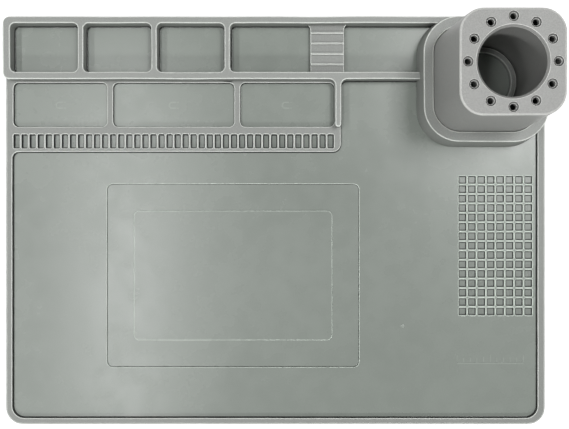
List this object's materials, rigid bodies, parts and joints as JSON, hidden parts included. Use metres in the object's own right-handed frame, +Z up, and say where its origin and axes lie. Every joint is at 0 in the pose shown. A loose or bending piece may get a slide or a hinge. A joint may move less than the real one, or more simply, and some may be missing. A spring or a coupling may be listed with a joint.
{
  "type": "soldering mat with tool holder",
  "caption": "Grey silicone soldering mat with deep and shallow parts trays, a slotted strip, a pocket grid and a lift-out square tool holder.",
  "frame": {"origin": "middle of the mat's underside, on the bench", "axes": "+X to the right of a person working at the mat, +Y away from that person towards the trays, +Z up"},
  "size_m": [0.405, 0.305, 0.098],
  "materials": {
    "mat_silicone": "satin grey moulded silicone",
    "holder_silicone": "matte grey moulded silicone",
    "magnet_rubber": "matte black flexible magnet sheet"
  },
  "bodies": {
    "mat": {"mat": "mat_silicone", "magnet_sheet_left": "magnet_rubber", "magnet_sheet_middle": "magnet_rubber", "magnet_sheet_right": "magnet_rubber"},
    "tool_holder": {"tool_holder": "holder_silicone"}
  },
  "joints": [
    {"name": "tool_holder_lift", "type": "slide", "parent": "mat", "child": "tool_holder", "axis": [0, 0, 1], "range_m": [0, 0.06]}
  ]
}
